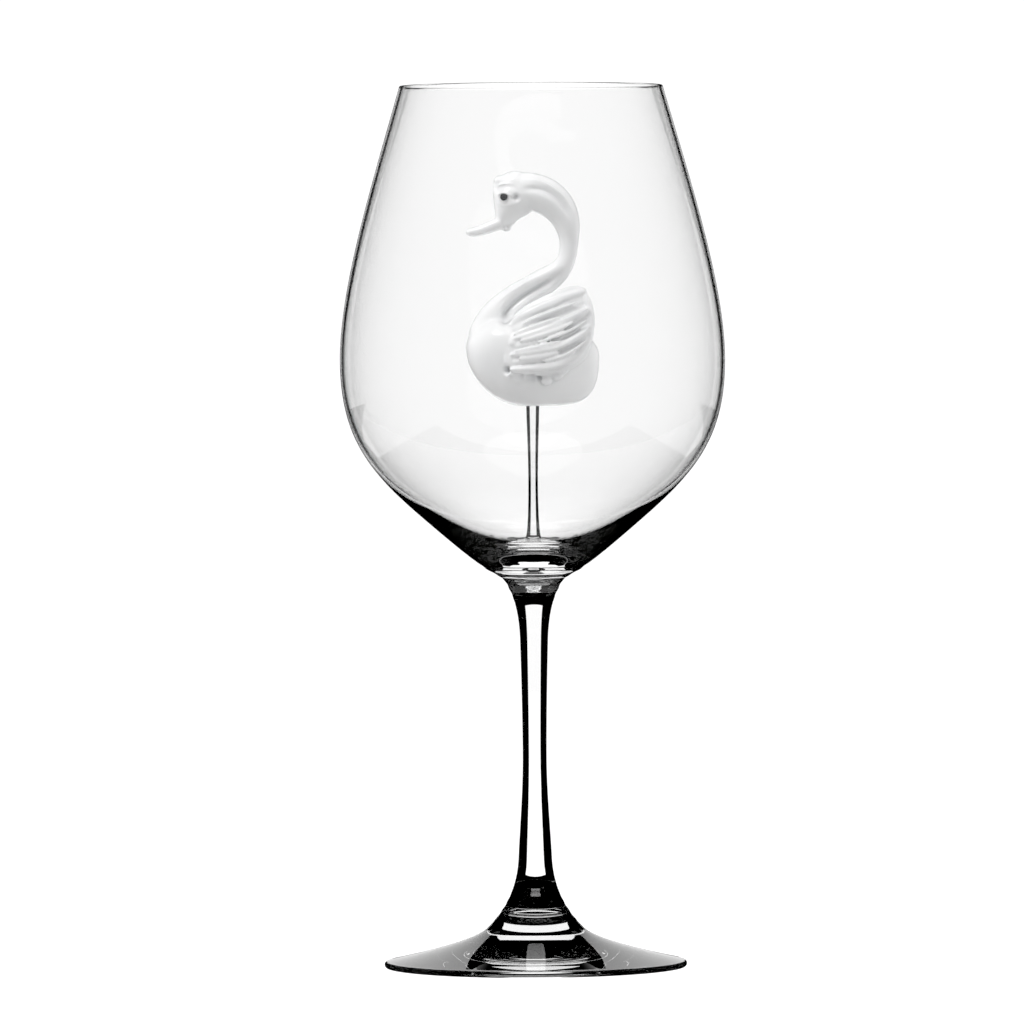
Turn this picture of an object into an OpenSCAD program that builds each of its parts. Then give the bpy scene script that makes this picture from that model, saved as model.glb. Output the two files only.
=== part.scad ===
// Stemmed wine glass with a wide, tapering bowl and a small glass swan inside it.
// The swan stands on a slim rod that is fused to the floor of the bowl. Every piece is glass,
// and neighbouring pieces are fused face to face.
// Millimetres, +Z up, origin on the table under the middle of the foot. The swan looks towards -X.

/* [Glass] */
// Overall height, from the table to the rim
glass_h = 240; // [210:1:290]

/* [Bowl] */
// Height of the bowl, from its seam with the stem to the rim
bowl_h = 133.9; // [125:0.1:155]
// Widest outside diameter
bowl_d = 104.8; // [86:0.1:126]
// Height of the widest ring above the seam
belly_h = 59.3; // [50:0.1:72]
// Outside diameter at the rim
rim_d = 71.8; // [60:0.1:84]
// Lean of the wall at the rim, from upright
rim_lean = 16; // [8:0.5:20]
// Thickness of the blown wall
wall_t = 1; // [0.8:0.1:1.6]
// Thickness of the heavy base under the rod
base_t = 6.9; // [6:0.1:8.5]
// Diameter of the seam between bowl and stem
collar_d = 17; // [14:0.1:20]

/* [Stem] */
// Diameter at the narrowest place
stem_d = 6.5; // [5:0.1:7.4]
// Diameter under the shoulder that runs into the bowl
stem_top_d = 7.6; // [6.5:0.1:10]
// Diameter above the flare that runs into the foot
stem_low_d = 9.2; // [7:0.1:11]
// Length of the shoulder
shoulder_l = 16.9; // [12:0.1:21]
// Length of the flare
flare_l = 19.1; // [15:0.1:23]

/* [Foot] */
// Outside diameter of the disc
foot_d = 82.4; // [68:0.1:100]
// Height of the seam between stem and foot
foot_h = 10.3; // [8.5:0.1:12.4]
// Diameter of that seam
hub_d = 27.2; // [22:0.1:33]
// Thickness of the rounded edge
edge_t = 1.8; // [1.4:0.1:2.4]
// Width of the flat ring that rests on the table
rest_w = 5; // [3:0.1:7]
// Depth of the hollow under the foot
hollow_h = 1; // [0.6:0.1:1.5]

/* [Rod] */
// Length from the floor of the bowl to the swan
rod_l = 40; // [32:0.1:48]
// Diameter at the waist
rod_d = 2.6; // [2:0.1:3.2]
// Diameter where it is fused to the bowl
rod_root_d = 4.4; // [3.5:0.1:5.5]
// Diameter where it is fused to the swan
rod_top_d = 3.6; // [3:0.1:4.5]

/* [Swan] */
// Height from the rod to the crown of the head
swan_h = 63.7; // [53:0.1:72]
// Half of the body's width
body_half_w = 11.6; // [9.5:0.1:14]
// Number of feathers in each wing
feathers = 7; // [5:1:8]
// Thickness of a feather, measured across the wing
feather_t = 3.8; // [3:0.1:4.8]
// Diameter of an eye bead
eye_d = 2; // [1.6:0.1:2.6]

/* [Hidden] */

// Steps along one curve and one feather, and sides of each kind of round
curve_steps = 14;
feather_steps = 12;
turned_sides = 96;
ring_sides = 20;
feather_sides = 12;
bead_sides = 24;

clear_glass = [0.87, 0.91, 0.93, 0.5];
milky_glass = "whitesmoke";
eye_glass = "gray";

// Levels of the seams and of the rod's two ends
seam_z = glass_h - bowl_h;
floor_z = seam_z + base_t;
seat_z = floor_z + rod_l;

// Outside of the bowl: rim, belly, haunch and collar, with the pull of the curve at each
belly_z = seam_z + belly_h;
haunch_inset = 22.9;
haunch_h = 15.8;
haunch_lean = 41;
haunch_along = [cos(haunch_lean), sin(haunch_lean)];
rim = [rim_d / 2, glass_h - wall_t / 2];
belly = [bowl_d / 2, belly_z];
haunch = [bowl_d / 2 - haunch_inset, seam_z + haunch_h];
collar = [collar_d / 2, seam_z];
rim_pull = 25 * [tan(rim_lean), -1];
belly_pull_up = [0, 20];
belly_pull_down = [0, -22];
haunch_pull = 18.3;
haunch_pull_in = 9.4;
collar_pull = [5.5, 2.5];

// Inside of the bowl: the wall, then a haunch that thickens into the base
inner_shift = [-wall_t, 0];
inner_haunch = haunch + [-2.5, base_t - 6.2];
inner_pull_down = [0, -20];
inner_haunch_pull = [16.3, 11.7];
inner_haunch_pull_in = [10.2, 7.3];
landing = [rod_root_d / 2, floor_z];
landing_pull = [8.8, 0];
lip_steps = 6;

// Stem, from the collar down to the hub
shoulder_z = seam_z - shoulder_l;
flare_z = foot_h + flare_l;
waist_share = 0.48;
waist_z = flare_z + waist_share * (shoulder_z - flare_z);
stem_top = [stem_top_d / 2, shoulder_z];
waist = [stem_d / 2, waist_z];
stem_low = [stem_low_d / 2, flare_z];
hub = [hub_d / 2, foot_h];
collar_pull_down = [-3.2, -4];
shoulder_pull = [0.2, 6.8];
waist_pull = [0, 10];
flare_pull = [0.5, -9.4];
hub_pull_up = [-4, 3.7];

// Foot, from the hub out to the edge and back under the disc
edge_r = edge_t / 2;
edge_top = [foot_d / 2 - edge_r, edge_t];
hub_pull_out = [3.9, -2.9];
edge_pull_in = [-12.4, 2.7];
rest_out = [foot_d / 2 - 3.4, 0];
rest_in = rest_out - [rest_w, 0];
hollow_pull = 16;
edge_turn = 150;
edge_steps = 8;

// Rod, waisted between its two ends
rod_waist_share = 0.47;
rod_waist = [rod_d / 2, floor_z + rod_waist_share * rod_l];
rod_root = [rod_root_d / 2, floor_z];
rod_top = [rod_top_d / 2, seat_z];
rod_root_pull = [-0.7, 2.5];
rod_waist_pull = [0, 7];
rod_top_pull = [-0.25, -9];

// The swan is drawn at this height and then sized. Its drawing has its origin at the rod's end.
drawn_h = 63.7;
swan_size = swan_h / drawn_h;

// Front and back outlines of the body, as seen from the side, and its half width
front_low = [[-4, -0.4], [-10.5, 0.4], [-17.8, 7.5], [-18.1, 15.2]];
front_top = [[-18.1, 15.2], [-18.3, 21.5], [-12.5, 25], [-4, 24.8]];
back_low = [[4, -0.4], [15, -0.7], [18, 2.5], [18.2, 13]];
back_top = [[18.2, 13], [18.3, 18.5], [12, 21], [0, 24.8]];
width_low = body_half_w * [0.38, 0.82, 1, 1];
width_top = body_half_w * [1, 0.97, 0.7, 0.13];
tail_taper = 0.3;

// Centre line of the neck and its radius, in three stretches from breast to head
neck_line = [
    [[-11.5, 17], [-9.5, 26], [-3.4, 29.6], [1.6, 32.6]],
    [[1.6, 32.6], [6, 35.2], [10.4, 36.8], [10.1, 45.5]],
    [[10.1, 45.5], [9.9, 52.5], [5.5, 58.2], [-3, 58.2]]
];
neck_radius = [[6, 4.6, 3.8, 3.7], [3.7, 3.9, 1.7, 2.75], [2.75, 4.3, 5.6, 5]];

// Head: skull, brow and sloping face, with the bead under it
skull_at = [-4.4, 0, 57.2];
skull_size = [6.1, 5.2, 6.5];
brow_at = [-7.3, 0, 59.2];
brow_r = 3.3;
face_at = [-7.7, 0, 50.6];
face_r = 2.1;
chin_at = [-7.2, 0, 48.1];
chin_r = 1.2;
eye_at = [-7.5, 4.3, 56.6];

// Bill: centre line, half height and half width
bill_line = [[-8.2, 49.6], [-12, 48.3], [-15, 46.6], [-18, 47.2]];
bill_half_h = [1.8, 1.5, 1.5, 1.1];
bill_half_w = [2.1, 1.8, 2.3, 1.9];

// Wing: a rounded leading edge, feathers that fan from it and sweep up, and a feather under the neck
leading_line = [[-5.6, 6.4, 22.2], [-7.4, 9.2, 18.6], [-7.2, 11.4, 13.6], [-5, 11.2, 9.4]];
leading_r = 1.8;
top_feather = [[-6.2, 6.6, 21.4], [-1, 8.6, 26], [7, 9.2, 28.6], [14.8, 7.2, 31]];
mid_feather = [[-4.8, 10.4, 15.8], [1.5, 12, 17], [8.5, 12, 18.2], [16.6, 9.2, 24.4]];
low_feather = [[-5.4, 11, 9.8], [2, 12.6, 10.4], [10, 12.2, 8.4], [15.6, 9.4, 18.2]];
neck_feather = [[-7, 7.6, 20.6], [-2.6, 7.8, 24.6], [3, 6.8, 27.6], [8.6, 3.4, 31.8]];
neck_feather_r = 1.5;
feather_half_h_root = 1.3;
feather_half_h_tip = 2;
rounded_end = 0.22;
least_end = 0.2;

// Points of a cubic curve
function bezier(p, t) = pow(1 - t, 3) * p[0] + 3 * t * pow(1 - t, 2) * p[1]
    + 3 * t * t * (1 - t) * p[2] + pow(t, 3) * p[3];

function slope(p, t) = pow(1 - t, 2) * (p[1] - p[0]) + 2 * t * (1 - t) * (p[2] - p[1])
    + t * t * (p[3] - p[2]);

function curve(p, first = 0) = [for (i = [first:curve_steps]) bezier(p, i / curve_steps)];

function unit(v) = v / norm(v);

// A ring of points across a direction, with its half sizes upwards and sideways
function ring(at, along, half_up, half_side, sides) =
    let (side = unit(cross([0, 0, 1], along)), up = unit(cross(along, side)))
    [for (i = [0:sides - 1]) let (a = 360 * i / sides)
        at + half_up * cos(a) * up + half_side * sin(a) * side];

// A ring across a line that lies in the swan's middle plane, where up can turn over
function flat_ring(at, along, half_up, half_side, sides) =
    let (up = unit([-along[1], along[0]]))
    [for (i = [0:sides - 1]) let (a = 360 * i / sides)
        [at[0] + half_up * cos(a) * up[0], half_side * sin(a), at[1] + half_up * cos(a) * up[1]]];

// Share of the full thickness at a distance from a rounded end
function rounding(d) = d >= rounded_end ? 1 : max(least_end, sqrt(1 - pow(1 - d / rounded_end, 2)));

// A closed skin over rings that all have the same number of points
module skin(rings) {
    count = len(rings);
    sides = len(rings[0]);
    walls = [for (i = [0:count - 2], j = [0:sides - 1]) let (a = i * sides, k = (j + 1) % sides)
        each [[a + j, a + k, a + sides + k], [a + j, a + sides + k, a + sides + j]]];
    start = [for (j = [sides - 1:-1:0]) j];
    end = [for (j = [0:sides - 1]) (count - 1) * sides + j];
    polyhedron([for (r = rings) each r], concat([start, end], walls));
}

// The first shape, cut back to the faces of the others that it is fused to
module fused_to() {
    resize([0, 0, 0])
    difference() {
        children(0);
        children([1:$children - 1]);
    }
}

module on_rod() {
    translate([0, 0, seat_z])
    scale(swan_size)
    children();
}

// A ring of the body between its front and back outlines, narrower towards the tail
function body_ring(front, back, half_w) =
    let (middle = (front + back) / 2, half = (back - front) / 2)
    [for (i = [0:ring_sides - 1]) let (a = -360 * i / ring_sides, at = middle + half * cos(a))
        [at[0], half_w * sin(a) * (1 - tail_taper * cos(a)), at[1]]];

module body_form() {
    low = [for (i = [0:curve_steps]) let (t = i / curve_steps)
        body_ring(bezier(front_low, t), bezier(back_low, t), bezier(width_low, t))];
    top = [for (i = [1:curve_steps]) let (t = i / curve_steps)
        body_ring(bezier(front_top, t), bezier(back_top, t), bezier(width_top, t))];
    skin(concat(low, top));
}

module neck_form() {
    skin([for (s = [0:len(neck_line) - 1], i = [s == 0 ? 0 : 1:curve_steps]) let (t = i / curve_steps)
        let (r = bezier(neck_radius[s], t))
        flat_ring(bezier(neck_line[s], t), slope(neck_line[s], t), r, r, ring_sides)]);
}

module head_form() {
    hull() {
        translate(skull_at)
        scale(skull_size)
        sphere(1, $fn = bead_sides);
        translate(brow_at)
        sphere(brow_r, $fn = bead_sides);
        translate(face_at)
        sphere(face_r, $fn = bead_sides);
    }
}

module bill_form() {
    skin([for (i = [0:curve_steps]) let (t = sin(90 * i / curve_steps), share = rounding(1 - t))
        flat_ring(bezier(bill_line, t), slope(bill_line, t), share * bezier(bill_half_h, t),
            share * bezier(bill_half_w, t), feather_sides)]);
}

module chin_form() {
    translate(chin_at)
    sphere(chin_r, $fn = bead_sides);
}

module eye_form() {
    translate(eye_at)
    sphere(d = eye_d / swan_size, $fn = bead_sides);
}

// One swept lobe of glass, thickest along its middle and rounded at both ends
module lobe(line, half_up_root, half_up_tip, half_side) {
    skin([for (i = [0:feather_steps]) let (t = (1 - cos(180 * i / feather_steps)) / 2)
        let (share = rounding(min(t, 1 - t)), half_up = half_up_root + (half_up_tip - half_up_root) * t)
        ring(bezier(line, t), slope(line, t), share * half_up, share * half_side, feather_sides)]);
}

// Centre line of a feather, counted from 0 at the top of the wing to 1 at the bottom
function feather_line(u) = (1 - u) * (1 - 2 * u) * top_feather + 4 * u * (1 - u) * mid_feather
    + u * (2 * u - 1) * low_feather;

// The wing on the +Y side
module wing_form() {
    lobe(leading_line, leading_r, leading_r, leading_r);
    lobe(neck_feather, neck_feather_r, neck_feather_r, neck_feather_r);
    for (i = [0:feathers - 1])
        lobe(feather_line(i / (feathers - 1)), feather_half_h_root, feather_half_h_tip,
            feather_t / swan_size / 2);
}

module bowl() {
    lip = [for (i = [1:lip_steps - 1]) let (a = 180 * i / lip_steps - rim_lean)
        rim + inner_shift / 2 + wall_t / 2 * [cos(a), sin(a)]];
    color(clear_glass)
    rotate_extrude($fn = turned_sides)
    polygon(concat(
        [[0, seam_z]],
        curve([collar, collar + collar_pull, haunch - haunch_pull_in * haunch_along, haunch]),
        curve([haunch, haunch + haunch_pull * haunch_along, belly + belly_pull_down, belly], 1),
        curve([belly, belly + belly_pull_up, rim + rim_pull, rim], 1),
        lip,
        curve([rim, rim + rim_pull, belly + belly_pull_up, belly] + [for (i = [0:3]) inner_shift]),
        curve([belly + inner_shift, belly + inner_shift + inner_pull_down, inner_haunch + inner_haunch_pull,
            inner_haunch], 1),
        curve([inner_haunch, inner_haunch - inner_haunch_pull_in, landing + landing_pull, landing], 1),
        [[0, floor_z]]
    ));
}

module stem() {
    color(clear_glass)
    rotate_extrude($fn = turned_sides)
    polygon(concat(
        [[0, foot_h]],
        curve([hub, hub + hub_pull_up, stem_low + flare_pull, stem_low]),
        curve([stem_low, stem_low - flare_pull, waist - waist_pull, waist], 1),
        curve([waist, waist + waist_pull, stem_top - shoulder_pull, stem_top], 1),
        curve([stem_top, stem_top + shoulder_pull, collar + collar_pull_down, collar], 1),
        [[0, seam_z]]
    ));
}

module foot() {
    edge = [for (i = [1:edge_steps]) let (a = 90 - edge_turn * i / edge_steps)
        [foot_d / 2 - edge_r, edge_t - edge_r] + edge_r * [cos(a), sin(a)]];
    color(clear_glass)
    rotate_extrude($fn = turned_sides)
    polygon(concat(
        [[0, foot_h]],
        curve([hub, hub + hub_pull_out, edge_top + edge_pull_in, edge_top]),
        edge,
        [rest_out],
        curve([rest_in, rest_in - [hollow_pull, -hollow_h], [hollow_pull, hollow_h], [0, hollow_h]])
    ));
}

module figure_rod() {
    color(clear_glass)
    rotate_extrude($fn = turned_sides)
    polygon(concat(
        [[0, floor_z]],
        curve([rod_root, rod_root + rod_root_pull, rod_waist - rod_waist_pull, rod_waist]),
        curve([rod_waist, rod_waist + rod_waist_pull, rod_top + rod_top_pull, rod_top], 1),
        [[0, seat_z]]
    ));
}

// The body, cut flat where the rod meets it
module swan_body() {
    below = 2 * drawn_h;
    color(milky_glass)
    on_rod()
    fused_to() {
        body_form();
        translate([0, 0, -below / 2])
        cube(below, center = true);
    }
}

module swan_neck() {
    color(milky_glass)
    on_rod()
    fused_to() {
        neck_form();
        body_form();
        head_form();
    }
}

module swan_head() {
    color(milky_glass)
    on_rod()
    head_form();
}

module swan_bill() {
    color(milky_glass)
    on_rod()
    fused_to() {
        bill_form();
        head_form();
    }
}

module swan_chin_bead() {
    color(milky_glass)
    on_rod()
    fused_to() {
        chin_form();
        head_form();
        bill_form();
    }
}

// The swan looks towards -X, so its left side is at -Y
module on_left() {
    mirror([0, 1, 0])
    children();
}

module swan_left_eye() {
    color(eye_glass)
    on_rod()
    fused_to() {
        on_left() eye_form();
        head_form();
    }
}

module swan_right_eye() {
    color(eye_glass)
    on_rod()
    fused_to() {
        eye_form();
        head_form();
    }
}

module swan_left_wing() {
    color(milky_glass)
    on_rod()
    fused_to() {
        on_left() wing_form();
        body_form();
        neck_form();
    }
}

module swan_right_wing() {
    color(milky_glass)
    on_rod()
    fused_to() {
        wing_form();
        body_form();
        neck_form();
    }
}

bowl();
stem();
foot();
figure_rod();
swan_body();
swan_neck();
swan_head();
swan_bill();
swan_chin_bead();
swan_left_eye();
swan_right_eye();
swan_left_wing();
swan_right_wing();
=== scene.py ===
"""Wine glass with a glass swan inside its bowl: the looks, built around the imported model."""
import math

import bmesh
import bpy
import numpy as np
from mathutils import Matrix, Vector


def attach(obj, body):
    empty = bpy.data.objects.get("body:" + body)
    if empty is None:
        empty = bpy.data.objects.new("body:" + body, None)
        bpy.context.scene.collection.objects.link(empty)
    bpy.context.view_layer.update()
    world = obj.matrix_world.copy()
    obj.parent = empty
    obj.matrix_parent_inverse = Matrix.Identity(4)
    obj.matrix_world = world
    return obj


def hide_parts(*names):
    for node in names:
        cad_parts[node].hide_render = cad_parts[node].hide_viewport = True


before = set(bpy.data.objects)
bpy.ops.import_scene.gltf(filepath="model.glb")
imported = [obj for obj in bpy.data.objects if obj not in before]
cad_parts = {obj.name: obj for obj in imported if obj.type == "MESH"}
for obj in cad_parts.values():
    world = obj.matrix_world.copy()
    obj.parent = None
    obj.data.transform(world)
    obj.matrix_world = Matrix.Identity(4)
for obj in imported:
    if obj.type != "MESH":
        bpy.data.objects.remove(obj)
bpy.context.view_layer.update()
scene = bpy.context.scene

MM = 0.001
BODY = "root"
WHITE, BLACK = (1, 1, 1, 1), (0, 0, 0, 1)


def pt(*values):
    """One point."""
    return np.array(values, float)


def pts(size, *values):
    """Points of the given size, or plain numbers for size 1, in a column."""
    return np.array(values, float).reshape(-1, size)


def even(value):
    """One size all along a curve."""
    return pts(1, value, value, value, value)


# The turned glass, as in the CAD model: distance from the axis and height, in millimetres.
# A pull is the handle of a curve at the point that it is named after.
GLASS_H, SEAM_Z, FLOOR_Z, SEAT_Z, FOOT_H = 240.0, 106.1, 113.0, 153.0, 10.3
WALL_T = 1.0
SHIFT = pt(-WALL_T, 0)
RIM_LEAN, HAUNCH_LEAN = 16, math.radians(41)
RIM = pt(35.9, GLASS_H - WALL_T / 2)
RIM_PULL = 25 * pt(math.tan(math.radians(RIM_LEAN)), -1)
LIP_FROM, LIP_TO, LIP_POINTS = 15 - RIM_LEAN, 165 - RIM_LEAN, 11
BELLY, BELLY_PULL_UP, BELLY_PULL_DOWN = pt(52.4, 165.4), pt(0, 20), pt(0, -22)
HAUNCH, HAUNCH_ALONG = pt(29.5, 121.9), pt(math.cos(HAUNCH_LEAN), math.sin(HAUNCH_LEAN))
HAUNCH_PULL_UP, HAUNCH_PULL_IN = 18.3 * HAUNCH_ALONG, 9.4 * HAUNCH_ALONG
COLLAR, COLLAR_PULL_UP, COLLAR_PULL_DOWN = pt(8.5, SEAM_Z), pt(5.5, 2.5), pt(-3.2, -4)
INNER_BELLY_PULL = pt(0, -20)
INNER_HAUNCH = pt(27.0, 122.6)
INNER_HAUNCH_PULL_UP, INNER_HAUNCH_PULL_IN = pt(16.3, 11.7), pt(10.2, 7.3)
LANDING, LANDING_PULL = pt(2.2, FLOOR_Z), pt(8.8, 0)
STEM_TOP, SHOULDER_PULL = pt(3.8, 89.2), pt(0.2, 6.8)
WAIST, WAIST_PULL = pt(3.25, 57.904), pt(0, 10)
STEM_LOW, FLARE_PULL = pt(4.6, 29.4), pt(0.5, -9.4)
HUB, HUB_PULL_UP, HUB_PULL_OUT = pt(13.6, FOOT_H), pt(-4, 3.7), pt(3.9, -2.9)
FOOT_R, EDGE_R = 41.2, 0.9
EDGE_TOP, EDGE_PULL = pt(FOOT_R - EDGE_R, 2 * EDGE_R), pt(-12.4, 2.7)
EDGE_FROM, EDGE_TO, EDGE_POINTS = 90, -60, 14
REST_OUT, REST_IN = pt(37.8, 0), pt(32.8, 0)
HOLLOW_H, HOLLOW_PULL = 1.0, 16
# The rod, and how far its top reaches into the swan
ROD_SINK = 0.3
ROD_ROOT, ROD_ROOT_PULL = pt(2.2, FLOOR_Z), pt(-0.7, 2.5)
ROD_WAIST, ROD_WAIST_PULL = pt(1.3, 131.8), pt(0, 7)
ROD_TOP, ROD_TOP_PULL = pt(1.8, SEAT_Z + ROD_SINK), pt(-0.25, -9)
# Tool rings where the stem joins the bowl and the foot: from and to which height, pitch and depth
RINGS = ((97.0, 115.0, 2.7, 0.13), (102.5, 114.0, 1.8, 0.1), (10.3, 22.0, 2.4, 0.09))
# Sides and steps of the turned pieces, and the turn in degrees that makes a sharp edge
TURN_SIDES, CURVE_STEPS, SHARP_TURN = 192, 36, 30

# The swan, in millimetres from the rod's end. Its middle plane is given as (x, z), its wings
# as (x, y, z).
SEAT = pt(0, 0, SEAT_Z)
FRONT_LOW = pts(2, -4, -0.4, -10.5, 0.4, -17.8, 7.5, -18.1, 15.2)
FRONT_TOP = pts(2, -18.1, 15.2, -18.3, 21.5, -12.5, 25, -4, 24.8)
BACK_LOW = pts(2, 4, -0.4, 15, -0.7, 18, 2.5, 18.2, 13)
BACK_TOP = pts(2, 18.2, 13, 18.3, 18.5, 12, 21, 0, 24.8)
BODY_W, TAIL_TAPER = 11.6, 0.3
WIDTH_LOW = BODY_W * pts(1, 0.38, 0.82, 1, 1)
WIDTH_TOP = BODY_W * pts(1, 1, 0.97, 0.7, 0.13)
NECK = (pts(2, -11.5, 17, -9.5, 26, -3.4, 29.6, 1.6, 32.6),
        pts(2, 1.6, 32.6, 6, 35.2, 10.4, 36.8, 10.1, 45.5),
        pts(2, 10.1, 45.5, 9.9, 52.5, 5.5, 58.2, -3, 58.2))
NECK_R = (pts(1, 6, 4.6, 3.8, 3.7), pts(1, 3.7, 3.9, 1.7, 2.75), pts(1, 2.75, 4.3, 5.6, 5))
# Fine raised lines on the neck: its stretch, start and end, and degrees up from its side's middle
NECK_LINES = ((0, 0.3, 1.0, 38), (2, 0.3, 0.98, -38))
NECK_LINE_R, NECK_LINE_SINK, NECK_LINE_ENDS = 0.5, 0.1, 0.4
# Fullness where the breast turns into the neck
BREAST = pts(2, -12.4, 18.6, -10.8, 24, -6.4, 27.6, -1.6, 31.2)
BREAST_R = pts(1, 5.2, 5, 4.2, 3.5)
# Skull, brow and face: place and size
HEAD = ((pt(-4.4, 0, 57.2), pt(6.1, 5.2, 6.5)), (pt(-7.3, 0, 59.2), 3.3), (pt(-7.7, 0, 50.6), 2.1))
# Chin bead, the glass between it and the throat, and the forehead: place, size and lean
FACE = ((pt(-6.9, 0, 48.3), (1.4, 1.4, 1.2), 0), (pt(-5.4, 0, 49.8), (1.5, 1.2, 0.9), -40),
        (pt(-8.7, 0, 60.8), (1.6, 2.8, 1.7), 0))
BILL = pts(2, -8.2, 49.6, -12, 48.3, -15, 46.6, -18, 47.2)
BILL_H, BILL_W = pts(1, 1.8, 1.5, 1.5, 1.1), pts(1, 2.1, 1.8, 2.3, 1.9)
BILL_BLUNT, BILL_TIP = 0.22, 0.2
# The wing: its leading edge, the three feathers that the others lie between, and one by the neck
LEADING = pts(3, -5.6, 6.4, 22.2, -7.4, 9.2, 18.6, -7.2, 11.4, 13.6, -5, 11.2, 9.4)
LEADING_R = 1.7
TOP_FEATHER = pts(3, -6.2, 6.6, 21.4, -1, 8.6, 26, 7, 9.2, 28.6, 14.8, 7.2, 31)
MID_FEATHER = pts(3, -4.8, 10.4, 15.8, 1.5, 12, 17, 8.5, 12, 18.2, 16.6, 9.2, 24.4)
LOW_FEATHER = pts(3, -5.4, 11, 9.8, 2, 12.6, 10.4, 10, 12.2, 8.4, 15.6, 9.4, 18.2)
ROOT_LIFT = pts(3, -1.2, 1.0, 0, -0.4, 0.5, 0, 0, 0, 0, 0, 0, 0)
FEATHERS = 7
NECK_FEATHER = pts(3, -7.2, 8.4, 20.0, -2.7, 8.6, 23.4, 3, 7.4, 26.9, 8.6, 3.8, 31.0)
NECK_FEATHER_SIZE = pts(1, 0.9, 1.5, 1.5, 0.9), pts(1, 1.2, 1.7, 1.6, 0.9)
# Half height and half thickness along a feather, for the web between feathers and for each vane,
# with its lift off the wing, the share of its length that thins out, and the least size there
WEB_SIZE = pts(1, 1.9, 2.5, 2.9, 2.5), pts(1, 1.6, 1.8, 1.5, 1.0)
WEB_LIFT, WEB_ENDS, WEB_LEAST = -0.5, 0.2, 0.35
VANE_SIZE = pts(1, 0.9, 1.0, 1.2, 1.4), pts(1, 1.9, 2.1, 1.8, 1.2)
VANE_LIFT, VANE_ENDS, VANE_LEAST = 0.4, 0.25, 0.25
# Bead along the tips of the feathers
TIP_SIZE, TIP_SHIFT = (even(1.1), even(1.2)), pt(0.9, 0, 0.4)
# Fine strands on the feathers: place on the wing, lift, start and end along the feather, thickness
FINE = ((0.03, 1.6, 0.05, 0.72, 0.7), (0.12, 1.9, 0.20, 0.90, 0.55), (0.24, 1.8, 0.06, 0.66, 0.7),
        (0.31, 1.8, 0.45, 0.98, 0.5), (0.41, 1.9, 0.10, 0.80, 0.6), (0.50, 1.9, 0.34, 0.97, 0.5),
        (0.59, 1.8, 0.04, 0.62, 0.7), (0.68, 1.9, 0.30, 0.95, 0.5), (0.77, 1.7, 0.08, 0.60, 0.7),
        (0.86, 1.8, 0.36, 0.96, 0.5), (0.95, 1.6, 0.12, 0.80, 0.6))
FINE_FLAT, FINE_ENDS = 0.8, 0.45
# Curls of the wing's lower edge: line and thickness
CURLS = ((pts(3, 9.6, 11.6, 9.4, 7, 12.2, 7.2, 4.6, 11.6, 8.4, 2.6, 11, 6.6), 0.8),
         (pts(3, -6.6, 10.6, 9.2, -4.4, 12.2, 8.4, -1, 12.6, 10.2, 1.6, 12.4, 8.8), 0.7))
# Brow, lower lid and upper lid: line and thickness
LIDS = ((pts(3, -9.8, 2.5, 58.9, -8.6, 3.9, 60.6, -5, 4.6, 60.4, -2.4, 4.6, 58.3), 0.65),
        (pts(3, -9.3, 2.6, 55.2, -7.8, 3.8, 54, -5.2, 4.6, 54.2, -3.2, 4.7, 55.6), 0.45),
        (pts(3, -9.3, 3.9, 56.9, -8.2, 4.9, 58.0, -6.6, 5.2, 57.9, -5.4, 5.0, 56.3), 0.42))
CURL_ENDS = 0.4
# Drops on the wing's lower and leading edges: place, size and lean
DROPS = ((pt(3.6, 11.8, 6.6), (1.7, 1.5, 1.3), 14), (pt(6.8, 12.0, 7.6), (1.6, 1.2, 1.0), -20),
         (pt(-6.4, 11.6, 8.4), (0.9, 0.9, 1.2), 30), (pt(0.6, 12.4, 8.6), (1.5, 0.9, 0.8), 10),
         (pt(-5.6, 11.8, 13.4), (1.0, 0.9, 1.1), 20), (pt(-5.2, 11.6, 17.0), (1.1, 0.9, 1.0), -15))
# Places pressed in with a tool: where, how wide and how deep
DENTS = ((pt(-6.6, 11.4, 9.8), 0.9, 1.9), (pt(-3.4, 11.4, 8.4), 1.5, 1.2),
         (pt(-0.4, 11.4, 7.8), 1.6, 1.4), (pt(2.0, 11.2, 7.8), 1.2, 1.0),
         (pt(-4.2, 5.2, 56.4), 0.8, 1.5), (pt(-7.5, 4.3, 56.6), 1.6, 0.5))
# Grooves under the root of the neck, behind the eye and under the brow, seen from the side:
# line, how wide and how deep
GROOVES = ((pts(2, 8.4, 36, 0.4, 30.2, -8, 28.6, -7.8, 21.6), 1.5, 2.2),
           (pts(2, -2.8, 58.4, 3.4, 60.2, 8, 57, 10.6, 50.6), 0.9, 1.0),
           (pts(2, -10.4, 59.0, -8.6, 60.0, -6, 60.2, -3.6, 59.2), 1.0, 0.6))
# Steps along a groove, its share of depth at its ends and how fast it deepens from there, and
# its distance from the swan's middle plane
GROOVE_STEPS, GROOVE_END, GROOVE_GROWS, GROOVE_FROM = 41, 0.1, 5, 0.5
# The fold between breast and neck, which is smoothed away
NECK_FOLD, NECK_FOLD_R = pt(-14.2, 22), 4.0
# Eyes: a dome in a fine collar of the same glass, painted dark as a dark reflection
EYE, EYE_OUT = pt(-7.5, 4.35, 56.6), pt(-0.34, 0.93, 0.1)
EYE_SIZE, EYE_SIDES = 0.95, 40
EYE_LINE = EYE_SIZE * pts(2, 0, -1.1, 0.55, -1.0, 0.9, -0.6, 1.06, -0.2, 1.1, 0.08, 1.04, 0.22,
                          0.92, 0.24, 0.84, 0.18, 0.8, 0.2, 0.74, 0.34, 0.58, 0.52, 0.36, 0.66,
                          0.18, 0.71, 0, 0.725)
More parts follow.
